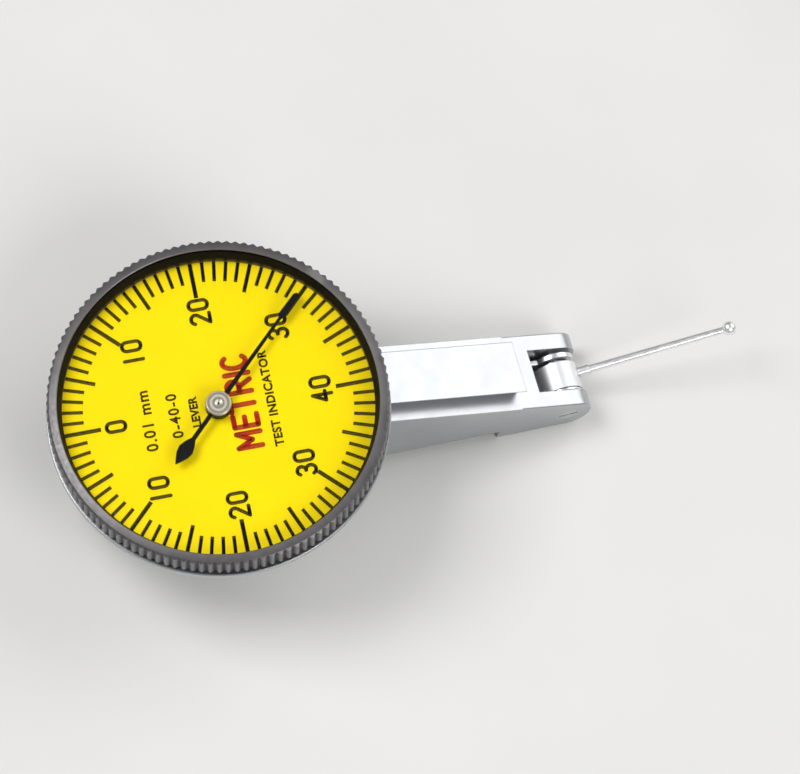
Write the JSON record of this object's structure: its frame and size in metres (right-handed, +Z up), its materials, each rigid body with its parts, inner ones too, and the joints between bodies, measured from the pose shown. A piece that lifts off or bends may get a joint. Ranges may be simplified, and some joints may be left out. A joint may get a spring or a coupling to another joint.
{
  "type": "dial test indicator",
  "caption": "Lever dial test indicator: round yellow dial on a wedge-shaped case with dovetails, a turning bezel, and a swivelling ball contact that drives the hand through gears.",
  "frame": {"origin": "on the flat underside, on the case's centre plane, where the dial's axis meets it", "axes": "+X towards the contact, +Y across the case, +Z up from the underside; the dial's axis leans back 10 degrees from +Z"},
  "size_m": [0.0842, 0.039, 0.0218],
  "materials": {
    "satin_case": "satin",
    "steel": "satin",
    "polished_steel": "polished",
    "spring_steel": "satin",
    "brass": "satin",
    "ruby": "polished",
    "bezel_black": "anodised satin",
    "crystal": "polished",
    "gasket": "matte",
    "spacer_black": "satin",
    "dial_yellow": "satin",
    "hand_black": "satin"
  },
  "bodies": {
    "case": {"case_body": "satin_case", "side_cover": "satin_case", "cover_screws": "steel", "pivot_screws": "polished_steel", "bezel_spring_ring": "spring_steel", "movement_plate_near": "brass", "movement_plate_far": "brass", "movement_pillars": "brass", "plate_screws": "steel", "arbor_jewels": "ruby", "centre_bush": "brass", "centre_bracket": "brass", "bracket_screw": "steel", "hairspring_stud": "brass", "hairspring": "spring_steel"},
    "bezel": {"bezel_ring": "bezel_black", "crystal": "crystal", "crystal_gasket": "gasket", "spacer_ring": "spacer_black", "dial_plate": "dial_yellow", "dial_retaining_ring": "brass"},
    "hand_shaft": {"hand": "hand_black", "hand_hub": "polished_steel", "centre_arbor": "steel", "hairspring_collet": "brass"},
    "crown": {"crown_gear": "brass", "crown_arbor": "steel"},
    "sector": {"sector_gear": "brass", "sector_arbor": "steel", "sector_pin": "steel"},
    "lever": {"lever": "steel", "lever_pin": "polished_steel", "friction_washer": "spring_steel"},
    "contact": {"contact_barrel": "polished_steel", "contact_collar": "polished_steel", "contact_shank": "polished_steel", "contact_ball": "polished_steel"}
  },
  "joints": [
    {"name": "bezel_turn", "type": "hinge", "parent": "case", "child": "bezel", "pos_m": [-0.00283, 0, 0.01605], "axis": [-0.1736, 0, 0.9848], "continuous": true},
    {"name": "hand_turn", "type": "hinge", "parent": "case", "child": "hand_shaft", "pos_m": [-0.00283, 0, 0.01605], "axis": [-0.1736, 0, 0.9848], "range_deg": [-360, 360], "stiffness_Nm_per_rad": 0.000006},
    {"name": "crown_turn", "type": "hinge", "parent": "case", "child": "crown", "pos_m": [-0.00118, 0, 0.0067], "axis": [0, 1, 0], "range_deg": [-76, 76]},
    {"name": "sector_turn", "type": "hinge", "parent": "case", "child": "sector", "pos_m": [0.00931, 0, 0.00708], "axis": [0, 1, 0], "range_deg": [-5.85, 5.85]},
    {"name": "lever_pivot", "type": "hinge", "parent": "case", "child": "lever", "pos_m": [0.0408, 0, 0.00298], "axis": [0, 1, 0], "range_deg": [-2.25, 2.25]},
    {"name": "contact_swivel", "type": "hinge", "parent": "lever", "child": "contact", "pos_m": [0.0408, 0, 0.00298], "axis": [0, 1, 0], "range_deg": [-90, 110]}
  ],
  "couplings": [
    {"joint": "crown_turn", "follows": "hand_turn", "ratio": 0.20833},
    {"joint": "sector_turn", "follows": "hand_turn", "ratio": -0.016026},
    {"joint": "lever_pivot", "follows": "hand_turn", "ratio": 0.006079}
  ]
}
